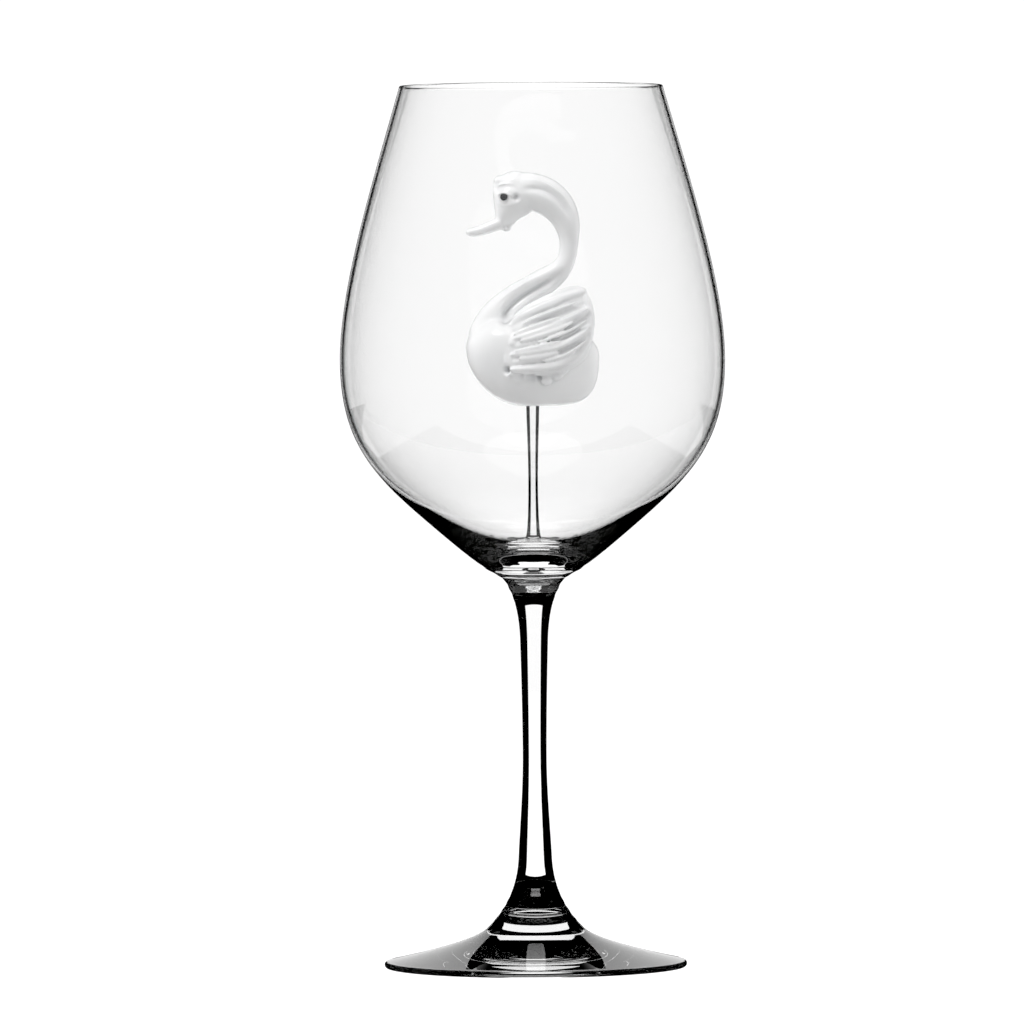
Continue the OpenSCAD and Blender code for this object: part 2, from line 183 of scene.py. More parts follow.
# Sides and steps of the swan's forms, and the skin that is melted over them
RING_SIDES, LOBE_SIDES, SWEEP_STEPS = 56, 28, 48
DROP_RINGS, DROP_SIDES, HEAD_RINGS, HEAD_SIDES = 22, 32, 24, 40
SKIN_VOXEL, SKIN_PASSES, FOLD_PASSES, SOFT_SHARE = 0.27, 3, 60, 0.5


# Curves and meshes

def bezier(points, t):
    t = np.asarray(t, float)[:, None]
    return ((1 - t) ** 3 * points[0] + 3 * t * (1 - t) ** 2 * points[1]
            + 3 * t * t * (1 - t) * points[2] + t ** 3 * points[3])


def slope(points, t):
    t = np.asarray(t, float)[:, None]
    return ((1 - t) ** 2 * (points[1] - points[0]) + 2 * t * (1 - t) * (points[2] - points[1])
            + t * t * (points[3] - points[2]))


def units(v):
    return v / np.linalg.norm(v, axis=-1, keepdims=True)


def around(sides):
    """Even angles round a full turn."""
    return np.linspace(0, 2 * math.pi, sides, endpoint=False)


def through(on):
    """The cubic curve that passes through four points at even steps."""
    inner = np.array([[-5, 18, -9, 2], [2, -9, 18, -5]]) / 6 @ on
    return np.stack([on[0], inner[0], inner[1], on[3]])


def placed(name, data):
    """A new object in the scene."""
    obj = bpy.data.objects.new(name, data)
    scene.collection.objects.link(obj)
    return obj


def new_object(name, verts, faces, smooth=True):
    mesh = bpy.data.meshes.new(name)
    mesh.from_pydata([tuple(v) for v in verts], [], faces)
    mesh.update()
    mesh.polygons.foreach_set("use_smooth", [smooth] * len(mesh.polygons))
    return placed(name, mesh)


def values_of(items, key, size, kind=float):
    """One value of every vertex or edge, as an array of rows."""
    out = np.zeros(len(items) * size, kind)
    items.foreach_get(key, out)
    return out.reshape(-1, size)


# Turned pieces

def curve(*points):
    return bezier(points, np.linspace(0, 1, CURVE_STEPS + 1))


def arc(centre, radius, first, last, steps):
    a = np.radians(np.linspace(first, last, steps))
    return centre + radius * np.stack([np.cos(a), np.sin(a)], 1)


def joined(*runs):
    """Runs of points end to end, each without its first point where it repeats the last one."""
    out = [runs[0]]
    for run in runs[1:]:
        same = np.linalg.norm(run[0] - out[-1][-1]) < 1e-6
        out.append(run[1:] if same else run)
    return np.concatenate(out)


def worked(profile):
    """The outline with the faint rings that tools leave where the stem is drawn and joined on."""
    r, z = profile.T.copy()
    for low, high, pitch, depth in RINGS:
        place = np.clip((z - low) / (high - low), 0, 1)
        r += depth * np.sin(2 * math.pi * (z - low) / pitch) * np.sin(math.pi * place) ** 2
    return np.stack([r, z], 1)


def corner_rings(profile):
    """Rings of an outline where it turns sharply."""
    d = np.diff(profile, axis=0)
    a = np.degrees(np.arctan2(d[:, 1], d[:, 0]))
    turn = np.abs((np.diff(a) + 180) % 360 - 180)
    return np.nonzero(turn > SHARP_TURN)[0]


def lathe(name, profile, materials, seams=(), sides=TURN_SIDES):
    """A closed turned piece from an outline that starts and ends on the axis.
    seams are the outline's bands that are fused on, counted from its start or, below zero,
    from its end."""
    rings = profile[1:-1]
    count = len(rings)
    a = around(sides)
    verts = np.concatenate([
        np.stack([np.outer(rings[:, 0], np.cos(a)), np.outer(rings[:, 0], np.sin(a)),
                  np.repeat(rings[:, 1:], sides, 1)], 2).reshape(-1, 3),
        [[0, 0, profile[0, 1]], [0, 0, profile[-1, 1]]]]) * MM
    start, end, last = count * sides, count * sides + 1, (count - 1) * sides
    faces, bands = [], []
    for j in range(sides):
        k = (j + 1) % sides
        faces += [(start, k, j), (end, last + j, last + k)]
        bands += [0, count]
        for i in range(count - 1):
            q = i * sides
            faces.append((q + j, q + k, q + sides + k, q + sides + j))
            bands.append(i + 1)
    obj = new_object(name, verts, faces)
    for m in materials:
        obj.data.materials.append(m)
    fused = {s % (count + 1) for s in seams}
    obj.data.polygons.foreach_set("material_index", [1 if b in fused else 0 for b in bands])
    edges = obj.data.edges
    ring_of = np.minimum(values_of(edges, "vertices", 2, int) // sides, count)
    sharp = (ring_of[:, 0] == ring_of[:, 1]) & np.isin(ring_of[:, 0], corner_rings(profile))
    edges.foreach_set("use_edge_sharp", sharp)
    return obj


# Materials

GLASS_IOR = 1.5
# Waves of hot-worked glass: size, strength and depth
CLEAR_WAVES = 30 * MM, 1.0, 0.01 * MM
SWAN_WAVES = 2.5 * MM, 0.5, 0.05 * MM
# The swan's milky glass: thin and thick clouds, their size and contrast, and how far light runs
# under its skin
MILK_THIN, MILK_THICK = (0.86, 0.865, 0.87, 1), (0.93, 0.932, 0.935, 1)
CLOUD_SIZE, CLOUD_DETAIL, CLOUD_RANGE = 9 * MM, 2.0, (0.3, 0.7)
SWAN_ROUGH, SOFT_LIGHT, SOFT_REACH = 0.12, 0.3, 1.5 * MM
# Painted shade in the swan's folds: its colour, how far a fold reaches, and from and to how open a
# place is
FOLD_SHADE_COLOUR, FOLD_SHADE_REACH, FOLD_SHADE_RANGE, FOLD_SHADE_RAYS = (0.54, 0.55, 0.56, 1), 2.6 * MM, (0.2, 0.85), 8
# Eyes painted dark, a painted reflection, with random spots a little less dark
PAINTED_EYE_DARK, PAINTED_EYE_LESS_DARK = (0.004, 0.004, 0.005, 1), (0.03, 0.03, 0.034, 1)
EYE_SPOT_SIZE, EYE_SPOT_DETAIL = 0.8 * MM, 2.0
EYE_ROUGH, EYE_COAT_ROUGH = 0.08, 0.03


def nodes_of(name):
    m = bpy.data.materials.new(name)
    m.use_nodes = True
    m.node_tree.nodes.clear()
    return m, m.node_tree.nodes, m.node_tree.links


def put(nodes, kind, **values):
    """A node with its sockets, or else its settings, given by name (a space is written as _)."""
    n = nodes.new(kind)
    for key, value in values.items():
        socket = key.replace("_", " ")
        if socket in n.inputs:
            n.inputs[socket].default_value = value
        else:
            setattr(n, key, value)
    return n


def join(links, socket, value):
    """A plain value or another node's output, put on a socket."""
    if isinstance(value, bpy.types.NodeSocket):
        links.new(value, socket)
    else:
        socket.default_value = value


def calc(nodes, links, operation, *values):
    n = put(nodes, "ShaderNodeMath", operation=operation)
    for socket, value in zip(n.inputs, values):
        join(links, socket, value)
    return n.outputs[0]


def noise(nodes, links, size, detail=1.0):
    place = put(nodes, "ShaderNodeTexCoord")
    texture = put(nodes, "ShaderNodeTexNoise", Scale=1 / size, Detail=detail)
    links.new(place.outputs["Object"], texture.inputs["Vector"])
    return texture.outputs["Fac"]


def own_axis(nodes, links, axis):
    """How far along one of the object's own axes a place is."""
    place = put(nodes, "ShaderNodeTexCoord")
    parts = put(nodes, "ShaderNodeSeparateXYZ")
    links.new(place.outputs["Object"], parts.inputs[0])
    return parts.outputs[axis]


def mixed(nodes, links, share, low, high):
    """A colour between two, or between a colour and another node's, by a share from 0 to 1."""
    mix = put(nodes, "ShaderNodeMixRGB")
    links.new(share, mix.inputs["Fac"])
    join(links, mix.inputs["Color1"], low)
    join(links, mix.inputs["Color2"], high)
    return mix.outputs["Color"]


def mix_shader(nodes, links, share, low, high):
    """A shader between two, by a share from 0 to 1."""
    mix = put(nodes, "ShaderNodeMixShader")
    links.new(share, mix.inputs[0])
    links.new(low.outputs[0], mix.inputs[1])
    links.new(high.outputs[0], mix.inputs[2])
    return mix


def ranged(nodes, links, value, low, high, **settings):
    span = put(nodes, "ShaderNodeMapRange", From_Min=low, From_Max=high, **settings)
    links.new(value, span.inputs["Value"])
    return span.outputs["Result"]


def waves(nodes, links, shader, size, strength, depth):
    """Faint waves on a shader's surface."""
    bump = put(nodes, "ShaderNodeBump", Strength=strength, Distance=depth)
    links.new(noise(nodes, links, size), bump.inputs["Height"])
    links.new(bump.outputs["Normal"], shader.inputs["Normal"])


def surface(nodes, links, shader):
    out = put(nodes, "ShaderNodeOutputMaterial")
    links.new(shader.outputs[0], out.inputs["Surface"])


def lets_lamps_in(nodes, links, shader):
    """The shader, but clear for lamp light."""
    clear = put(nodes, "ShaderNodeBsdfTransparent")
    path = put(nodes, "ShaderNodeLightPath")
    return mix_shader(nodes, links, path.outputs["Is Shadow Ray"], shader, clear)


def clear_glass_material():
    """Clear glass with the faint waves of hot-worked glass."""
    m, nodes, links = nodes_of("clear_glass")
    glass = put(nodes, "ShaderNodeBsdfPrincipled", Base_Color=WHITE, Roughness=0.0, IOR=GLASS_IOR,
                Transmission_Weight=1.0)
    waves(nodes, links, glass, *CLEAR_WAVES)
    surface(nodes, links, lets_lamps_in(nodes, links, glass))
    return m


def seam_material():
    """Where two pieces are fused there is no face to see."""
    m, nodes, links = nodes_of("fused_seam")
    surface(nodes, links, put(nodes, "ShaderNodeBsdfTransparent"))
    return m


def swan_glass_material():
    """Milky glass, cloudier in some places than in others, with painted shade that darkens its
    folds, and a fire-polished skin."""
    m, nodes, links = nodes_of("swan_glass")
    milk = put(nodes, "ShaderNodeBsdfPrincipled", Roughness=SWAN_ROUGH, IOR=GLASS_IOR,
               Subsurface_Weight=SOFT_LIGHT, Subsurface_Scale=SOFT_REACH,
               Subsurface_Radius=(1, 1, 1))
    clouds = ranged(nodes, links, noise(nodes, links, CLOUD_SIZE, CLOUD_DETAIL), *CLOUD_RANGE)
    milky = mixed(nodes, links, clouds, MILK_THIN, MILK_THICK)
    # Painted shade: the colour turns grey where the occlusion node finds a place enclosed, in
    # folds and grooves
    occlusion = put(nodes, "ShaderNodeAmbientOcclusion", Distance=FOLD_SHADE_REACH, samples=FOLD_SHADE_RAYS)
    unshaded_share = ranged(nodes, links, occlusion.outputs["AO"], *FOLD_SHADE_RANGE)
    links.new(mixed(nodes, links, unshaded_share, FOLD_SHADE_COLOUR, milky), milk.inputs["Base Color"])
    waves(nodes, links, milk, *SWAN_WAVES)
    surface(nodes, links, milk)
    return m


def eye_glass_material():
    """Glass painted dark, a painted reflection, with random spots a little less dark."""
    m, nodes, links = nodes_of("eye_glass")
    painted_dark_eye = put(nodes, "ShaderNodeBsdfPrincipled", Roughness=EYE_ROUGH, IOR=GLASS_IOR,
                     Coat_Weight=1.0, Coat_Roughness=EYE_COAT_ROUGH)
    ramp = put(nodes, "ShaderNodeValToRGB")
    ramp.color_ramp.elements[0].color = PAINTED_EYE_DARK
    ramp.color_ramp.elements[1].color = PAINTED_EYE_LESS_DARK
    links.new(noise(nodes, links, EYE_SPOT_SIZE, EYE_SPOT_DETAIL), ramp.inputs["Fac"])
    links.new(ramp.outputs["Color"], painted_dark_eye.inputs["Base Color"])
    surface(nodes, links, painted_dark_eye)
    return m


clear_glass, fused_seam = clear_glass_material(), seam_material()
swan_glass, eye_glass = swan_glass_material(), eye_glass_material()

# Glass: bowl, stem, foot and rod

outside = worked(joined(
    curve(COLLAR, COLLAR + COLLAR_PULL_UP, HAUNCH - HAUNCH_PULL_IN, HAUNCH),
    curve(HAUNCH, HAUNCH + HAUNCH_PULL_UP, BELLY + BELLY_PULL_DOWN, BELLY),
    curve(BELLY, BELLY + BELLY_PULL_UP, RIM + RIM_PULL, RIM)))
lip = arc(RIM + SHIFT / 2, WALL_T / 2, LIP_FROM, LIP_TO, LIP_POINTS)
inside = joined(
    curve(RIM + SHIFT, RIM + RIM_PULL + SHIFT, BELLY + BELLY_PULL_UP + SHIFT, BELLY + SHIFT),
    curve(BELLY + SHIFT, BELLY + SHIFT + INNER_BELLY_PULL, INNER_HAUNCH + INNER_HAUNCH_PULL_UP,
          INNER_HAUNCH),
    curve(INNER_HAUNCH, INNER_HAUNCH - INNER_HAUNCH_PULL_IN, LANDING + LANDING_PULL, LANDING))
bowl = lathe("glass_bowl", joined(pt(0, SEAM_Z)[None], outside, lip, inside, pt(0, FLOOR_Z)[None]),
             [clear_glass, fused_seam], seams=(0, -1))

stem_line = worked(joined(
    curve(HUB, HUB + HUB_PULL_UP, STEM_LOW + FLARE_PULL, STEM_LOW),
    curve(STEM_LOW, STEM_LOW - FLARE_PULL, WAIST - WAIST_PULL, WAIST),
    curve(WAIST, WAIST + WAIST_PULL, STEM_TOP - SHOULDER_PULL, STEM_TOP),
    curve(STEM_TOP, STEM_TOP + SHOULDER_PULL, COLLAR + COLLAR_PULL_DOWN, COLLAR)))
stem = lathe("glass_stem", joined(pt(0, FOOT_H)[None], stem_line, pt(0, SEAM_Z)[None]),
             [clear_glass, fused_seam], seams=(0, -1))

foot_line = joined(
    curve(HUB, HUB + HUB_PULL_OUT, EDGE_TOP + EDGE_PULL, EDGE_TOP),
    arc(pt(FOOT_R - EDGE_R, EDGE_R), EDGE_R, EDGE_FROM, EDGE_TO, EDGE_POINTS),
    REST_OUT[None],
    curve(REST_IN, REST_IN - pt(HOLLOW_PULL, -HOLLOW_H), pt(HOLLOW_PULL, HOLLOW_H),
          pt(0, HOLLOW_H)))
foot = lathe("glass_foot", joined(pt(0, FOOT_H)[None], foot_line)[::-1],
             [clear_glass, fused_seam], seams=(-1,))

rod_line = joined(
    curve(ROD_ROOT, ROD_ROOT + ROD_ROOT_PULL, ROD_WAIST - ROD_WAIST_PULL, ROD_WAIST),
    curve(ROD_WAIST, ROD_WAIST + ROD_WAIST_PULL, ROD_TOP + ROD_TOP_PULL, ROD_TOP))
rod = lathe("glass_figure_rod", joined(pt(0, FLOOR_Z)[None], rod_line, ROD_TOP[None] * (0, 1)),
            [clear_glass, fused_seam], seams=(0,))

for piece, node in ((bowl, "bowl"), (stem, "stem"), (foot, "foot"), (rod, "figure_rod")):
    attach(piece, BODY)
    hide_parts(node)


# Swan

def ball(t, sides):
    """Rings of a ball of radius 1 at the given angles from its top."""
    a = around(sides)
    return np.stack([np.outer(np.sin(t), np.cos(a)), np.outer(np.sin(t), np.sin(a)),
                     np.repeat(np.cos(t)[:, None], sides, 1)], 2)


def rounding(distance, ends, least):
    """Share of the full thickness at a distance from a rounded end."""
    near = np.minimum(distance / ends, 1)
    return np.maximum(np.sqrt(1 - (1 - near) ** 2), least)[:, None]


class Clay:
    """Overlapping forms of hot glass, in millimetres, that are melted into one skin."""

    def __init__(self):
        self.verts, self.faces, self.count = [], [], 0

    def solid(self, verts, faces):
        self.faces += [tuple(i + self.count for i in f) for f in faces]
        self.verts.append(np.asarray(verts, float))
        self.count += len(verts)

    def rings(self, rings):
        """A closed skin over rings, with a point in the middle of each end."""
        count, sides = rings.shape[:2]
        start, end, last = count * sides, count * sides + 1, (count - 1) * sides
        faces = []
        for j in range(sides):
            k = (j + 1) % sides
            faces += [(i + j, i + k, i + sides + k, i + sides + j) for i in range(0, last, sides)]
            faces += [(start, k, j), (end, last + j, last + k)]
        verts = [rings.reshape(-1, 3), rings[:1].mean(1), rings[-1:].mean(1)]
        self.solid(np.concatenate(verts), faces)

    def drop(self, at, size, lean=0.0):
        """An ellipsoid, leant over by some degrees in the swan's middle plane."""
        form = ball(np.linspace(0, math.pi, DROP_RINGS)[-2:0:-1], DROP_SIDES) * size
        c, s = math.cos(math.radians(lean)), math.sin(math.radians(lean))
        self.rings(form @ np.array([[c, 0, -s], [0, 1, 0], [s, 0, c]]) + at)

    def strand(self, line, half_up, half_side, ends=0.22, least=0.12):
        """A swept lobe along a curve in space, thinned towards both ends."""
        t = (1 - np.cos(np.linspace(0, math.pi, SWEEP_STEPS + 1))) / 2
        at, along = bezier(line, t), units(slope(line, t))
        side = units(np.cross([0, 0, 1], along))
        up = np.cross(along, side)
        share = rounding(np.minimum(t, 1 - t), ends, least)
        a = around(LOBE_SIDES)
        upwards = (share * bezier(half_up, t) * np.cos(a))[:, :, None] * up[:, None]
        sideways = (share * bezier(half_side, t) * np.sin(a))[:, :, None] * side[:, None]
        self.rings(at[:, None] + upwards + sideways)


def flat_rings(line, half_up, half_side, t, sides):
    """Rings across a line that lies in the swan's middle plane."""
    at, along = bezier(line, t), units(slope(line, t))
    a = around(sides)
    return np.stack([at[:, :1] - half_up * np.cos(a) * along[:, 1:], half_side * np.sin(a),
                     at[:, 1:] + half_up * np.cos(a) * along[:, :1]], 2)


def neck_line(part, first, last, turn):
    """A line on the neck's skin, turned by some degrees from the middle of its side towards its
    upper edge."""
    t = np.linspace(first, last, 4)
    at, along = bezier(NECK[part], t), units(slope(NECK[part], t))
    r = bezier(NECK_R[part], t)[:, 0] - NECK_LINE_SINK
    c, s = r * math.cos(math.radians(turn)), r * math.sin(math.radians(turn))
    return through(np.stack([at[:, 0] - s * along[:, 1], c, at[:, 1] + s * along[:, 0]], 1))


def feather(u, lift=0.0, start=0.0, end=1.0):
    """Centre line of a feather, from 0 at the top of the wing to 1 at the bottom, or a stretch
    of it."""
    line = ((1 - u) * (1 - 2 * u) * TOP_FEATHER + 4 * u * (1 - u) * MID_FEATHER
            + u * (2 * u - 1) * LOW_FEATHER + pt(0, lift, 0) + ROOT_LIFT)
    return through(bezier(line, np.linspace(start, end, 4)))


def body_and_neck(clay):
    t = np.linspace(0, 1, SWEEP_STEPS + 1)
    a = -around(RING_SIDES)
    outlines = (FRONT_LOW, FRONT_TOP), (BACK_LOW, BACK_TOP), (WIDTH_LOW, WIDTH_TOP)
    front, back, wide = (np.concatenate([bezier(low, t), bezier(top, t[1:])])
                         for low, top in outlines)
    middle, half = (front + back) / 2, (back - front) / 2
    clay.rings(np.stack([middle[:, :1] + half[:, :1] * np.cos(a),
                         wide * np.sin(a) * (1 - TAIL_TAPER * np.cos(a)),
                         middle[:, 1:] + half[:, 1:] * np.cos(a)], 2))
    r = bezier(BREAST_R, t)
    clay.rings(flat_rings(BREAST, r, r, t, RING_SIDES))
    clay.rings(np.concatenate([flat_rings(line, bezier(r, t), bezier(r, t), t, RING_SIDES)[n > 0:]
                               for n, (line, r) in enumerate(zip(NECK, NECK_R))]))


def head_and_bill(clay):
    round_form = ball(np.linspace(0, math.pi, HEAD_RINGS), HEAD_SIDES).reshape(-1, 3)
    b = bmesh.new()
    for at, size in HEAD:
        for v in round_form * size + at:
            b.verts.new(v)
    bmesh.ops.convex_hull(b, input=b.verts)
    bmesh.ops.delete(b, geom=[v for v in b.verts if not v.link_faces], context="VERTS")
    b.verts.index_update()
    clay.solid([tuple(v.co) for v in b.verts], [tuple(v.index for v in f.verts) for f in b.faces])
    b.free()
    t = np.sin(np.linspace(0, math.pi / 2, SWEEP_STEPS + 1))
    blunt = rounding(1 - t, BILL_BLUNT, BILL_TIP)
    clay.rings(flat_rings(BILL, blunt * bezier(BILL_H, t), blunt * bezier(BILL_W, t), t,
                          LOBE_SIDES))
    for at, size, lean in FACE:
        clay.drop(at, size, lean)


def wing_and_lines(clay, side):
    """The wing, lids and neck lines of one side."""
    mirror = pt(1, side, 1)
    clay.strand(LEADING * mirror, even(LEADING_R), even(LEADING_R))
    for i in range(FEATHERS):
        u = i / (FEATHERS - 1)
        clay.strand(feather(u, WEB_LIFT) * mirror, *WEB_SIZE, WEB_ENDS, WEB_LEAST)
        clay.strand(feather(u, VANE_LIFT * (-1) ** i) * mirror, *VANE_SIZE, VANE_ENDS, VANE_LEAST)
    for u, lift, start, end, thick in FINE:
        clay.strand(feather(u, lift, start, end) * mirror, even(thick), even(FINE_FLAT * thick),
                    FINE_ENDS)
    tips = through(np.stack([feather(u)[3] for u in (0, 1 / 3, 2 / 3, 1)])) - TIP_SHIFT
    clay.strand(tips * mirror, *TIP_SIZE)
    clay.strand(NECK_FEATHER * mirror, *NECK_FEATHER_SIZE)
    for line, thick in CURLS + LIDS:
        clay.strand(line * mirror, even(thick), even(thick), CURL_ENDS)
    for at, size, lean in DROPS:
        clay.drop(at * mirror, size, lean)
    for place in NECK_LINES:
        clay.strand(neck_line(*place) * mirror, even(NECK_LINE_R), even(NECK_LINE_R),
                    NECK_LINE_ENDS)


def beside(where, line, radius):
    """1 on a line that is drawn on the swan seen from its side, less away from it and less at
    its ends."""
    best = np.zeros(len(where))
    for t in np.linspace(0, 1, GROOVE_STEPS):
        near = np.linalg.norm(where[:, ::2] - bezier(line, [t]), axis=1) / radius
        share = min(1, GROOVE_END + GROOVE_GROWS * t, GROOVE_END + GROOVE_GROWS * (1 - t))
        best = np.maximum(best, share * np.exp(-near * near))
    return best


def pressed_in(where):
    """How deep each place of the swan is pressed in."""
    where = where * (1, 0, 1) + np.abs(where) * (0, 1, 0)
    aside = np.clip(where[:, 1] - GROOVE_FROM, 0, 1)
    depth = np.zeros(len(where))
    for at, radius, most in DENTS:
        near = np.linalg.norm(where - at, axis=1) / radius
        depth = np.maximum(depth, most * np.exp(-near ** 2))
    for line, radius, most in GROOVES:
        depth = np.maximum(depth, most * beside(where, line, radius) * aside)
    return depth


def softened(co, edges, passes, share=SOFT_SHARE):
    """Each point moved towards the middle of its neighbours, by a share that may differ from
    point to point."""
    a, b = edges.T
    count = np.bincount(edges.ravel(), minlength=len(co))[:, None]
    for _ in range(passes):
        total = np.stack([np.bincount(a, co[b, i], len(co)) + np.bincount(b, co[a, i], len(co))
                          for i in range(3)], 1)
        co = co + share * (total / count - co)
    return co


def melted(name, clay, material):
    """One skin over all the forms, softened as molten glass is."""
    raw = new_object(name + "_forms", (np.concatenate(clay.verts) + SEAT) * MM, clay.faces)
    skin = raw.modifiers.new("skin", "REMESH")
    skin.mode = "VOXEL"
    skin.voxel_size = SKIN_VOXEL * MM
    bpy.context.view_layer.update()
    finished = raw.evaluated_get(bpy.context.evaluated_depsgraph_get())
    mesh = bpy.data.meshes.new_from_object(finished)
    bpy.data.objects.remove(raw)
    edges = values_of(mesh.edges, "vertices", 2, int)
    co = softened(values_of(mesh.vertices, "co", 3), edges, SKIN_PASSES)
    mesh.vertices.foreach_set("co", co.ravel())
    mesh.update()
    where = co / MM - SEAT
    co = co - values_of(mesh.vertices, "normal", 3) * pressed_in(where)[:, None] * MM
    near = np.linalg.norm(where[:, ::2] - NECK_FOLD, axis=1) / NECK_FOLD_R
    co = softened(co, edges, FOLD_PASSES, SOFT_SHARE * np.exp(-near ** 2)[:, None])
    co = softened(co, edges, SKIN_PASSES)
    mesh.vertices.foreach_set("co", co.ravel())
    mesh.polygons.foreach_set("use_smooth", [True] * len(mesh.polygons))
    mesh.materials.clear()
    mesh.materials.append(material)
    mesh.name = name
    mesh.update()
    return placed(name, mesh)


swan_clay = Clay()
body_and_neck(swan_clay)
head_and_bill(swan_clay)
for side in (-1, 1):
    wing_and_lines(swan_clay, side)
swan = melted("glass_swan", swan_clay, swan_glass)
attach(swan, BODY)
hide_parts("swan_body", "swan_neck", "swan_head", "swan_bill", "swan_chin_bead",
            "swan_left_wing", "swan_right_wing")
swan.visible_glossy = False    # no ghost of it in the bowl's far wall

eyes = []
for name, node, side in (("eye_left", "swan_left_eye", -1), ("eye_right", "swan_right_eye", 1)):
    eye = lathe(name, EYE_LINE, [eye_glass], sides=EYE_SIDES)
    turn = Vector(EYE_OUT * (1, side, 1)).to_track_quat("Z", "Y").to_matrix().to_4x4()
    eye.data.transform(Matrix.Translation(Vector((EYE * (1, side, 1) + SEAT) * MM)) @ turn)
    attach(eye, BODY)
    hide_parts(node)
    eyes.append(eye)

# Camera

scene.view_settings.view_transform = "Standard"
scene.cycles.max_bounces = 24
scene.cycles.transmission_bounces = 24
scene.cycles.glossy_bounces = 16
scene.cycles.transparent_max_bounces = 24

FRAME_W, CAM_DIST, CAM_H = 0.2786, 2.37, 0.182
AIM = Vector((-0.0058, 0, 0.124))
ROLL = math.radians(-0.33)
cam_data = bpy.data.cameras.new("camera")
cam_data.sensor_width = 36
cam_data.lens = cam_data.sensor_width * CAM_DIST / FRAME_W
cam_data.clip_start = 0.05
cam_data.clip_end = 30
cam = placed("camera", cam_data)
cam.location = Vector((AIM.x, -CAM_DIST, CAM_H))
look = (AIM - cam.location).to_track_quat("-Z", "Y").to_matrix()
cam.rotation_mode = "QUATERNION"
cam.rotation_quaternion = (look @ Matrix.Rotation(ROLL, 3, "Z")).to_quaternion()
scene.camera = cam


# Stage

# Brightness of the surround as a light, and where it is seen straight, mirrored or through glass.
# That is just over white, because the bowl's walls turn a part of it away.
AMBIENT, SURROUND = 0.5, 1.07
FLOOR_HALF, FLOOR_DROP = 3.0, -0.2 * MM
PAPER, FLOOR_GLOW, FLOOR_GLOW_SHARE = (0.9, 0.9, 0.9, 1), 1.32, 0.75


def seen_white(nodes, links):
    """1 for rays that go to the camera straight or through glass, or by a reflection."""
    ray = put(nodes, "ShaderNodeLightPath").outputs
    one = calc(nodes, links, "MAXIMUM", ray["Is Camera Ray"], ray["Is Glossy Ray"])
    return calc(nodes, links, "MAXIMUM", one, ray["Is Transmission Ray"])


def studio_world():
    world = bpy.data.worlds.new("studio")
    scene.world = world
    world.use_nodes = True
    nodes, links = world.node_tree.nodes, world.node_tree.links
    nodes.clear()
    out = put(nodes, "ShaderNodeOutputWorld")
    plain = put(nodes, "ShaderNodeBackground", Color=WHITE, Strength=AMBIENT)
    white = put(nodes, "ShaderNodeBackground", Color=WHITE, Strength=SURROUND)
    mix = mix_shader(nodes, links, seen_white(nodes, links), plain, white)
    links.new(mix.outputs[0], out.inputs["Surface"])


def floor_material():
    """Pale paper that runs into the white background and keeps a quarter of its own shading."""
    m, nodes, links = nodes_of("floor")
    paper = put(nodes, "ShaderNodeBsdfDiffuse", Color=PAPER)
    glow = put(nodes, "ShaderNodeEmission", Color=WHITE, Strength=FLOOR_GLOW)
    share = calc(nodes, links, "MULTIPLY", seen_white(nodes, links), FLOOR_GLOW_SHARE)
    surface(nodes, links, mix_shader(nodes, links, share, paper, glow))
    return m


def dark_card_material():
    m, nodes, links = nodes_of("dark_card")
    surface(nodes, links, put(nodes, "ShaderNodeBsdfDiffuse", Color=BLACK))
    return m


def reflector_material(full, none):
    """A white card that fades to black from one distance ahead of the glass to another."""
    m, nodes, links = nodes_of("reflector")
    fade = ranged(nodes, links, own_axis(nodes, links, "Z"), -CAM_DIST - full, -CAM_DIST - none,
                  interpolation_type="SMOOTHSTEP", To_Min=1.0, To_Max=0.0)
    glow = put(nodes, "ShaderNodeEmission", Color=WHITE)
    links.new(fade, glow.inputs["Strength"])
    surface(nodes, links, glow)
    return m


def lit_top_material():
    """A card that is white on top and black underneath."""
    m, nodes, links = nodes_of("lit_top")
    below = put(nodes, "ShaderNodeNewGeometry").outputs["Backfacing"]
    white = put(nodes, "ShaderNodeEmission", Color=WHITE, Strength=1.0)
    black = put(nodes, "ShaderNodeBsdfDiffuse", Color=BLACK)
    surface(nodes, links, mix_shader(nodes, links, below, white, black))
    return m


def open_below_material(full, none):
    """A black card that fades to nothing towards its left and right, seen from underneath."""
    m, nodes, links = nodes_of("open_below")
    below = put(nodes, "ShaderNodeNewGeometry").outputs["Backfacing"]
    across = calc(nodes, links, "ADD", own_axis(nodes, links, "X"), AIM.x)
    fade = ranged(nodes, links, calc(nodes, links, "ABSOLUTE", across), full, none,
                  interpolation_type="SMOOTHSTEP", To_Min=0.0, To_Max=1.0)
    share = calc(nodes, links, "MULTIPLY", fade, below)
    black = put(nodes, "ShaderNodeBsdfDiffuse", Color=BLACK)
    clear = put(nodes, "ShaderNodeBsdfTransparent")
    surface(nodes, links, mix_shader(nodes, links, share, black, clear))
    return m


def on_stage(obj, material, mirrored=True, through_glass=True, seen=False):
    """A stage object, with what it is there for: mirror images on the glass, or views through
    the glass."""
    obj.data.materials.append(material)
    if not seen:
        obj.visible_camera = obj.visible_diffuse = obj.visible_shadow = False
        obj.visible_volume_scatter = False
        obj.visible_glossy = mirrored
        obj.visible_transmission = through_glass


studio_world()
floor = new_object("floor", [(x * FLOOR_HALF, y * FLOOR_HALF, FLOOR_DROP)
                             for x, y in ((-1, -1), (1, -1), (1, 1), (-1, 1))],
                   [(0, 1, 2, 3)], False)
on_stage(floor, floor_material(), seen=True)

# A dark tent around a white window behind the glass, as glass is lit in a studio. It is held by
# the camera, so it stays the same from every side. Cards are given in metres to the camera's
# right, ahead and up, from the middle of the glass.
FRONT, TOP, LOW, OUT = -0.5, 0.5, -0.3, 0.7
WINDOW_Y, WIDE = 0.6, 0.218
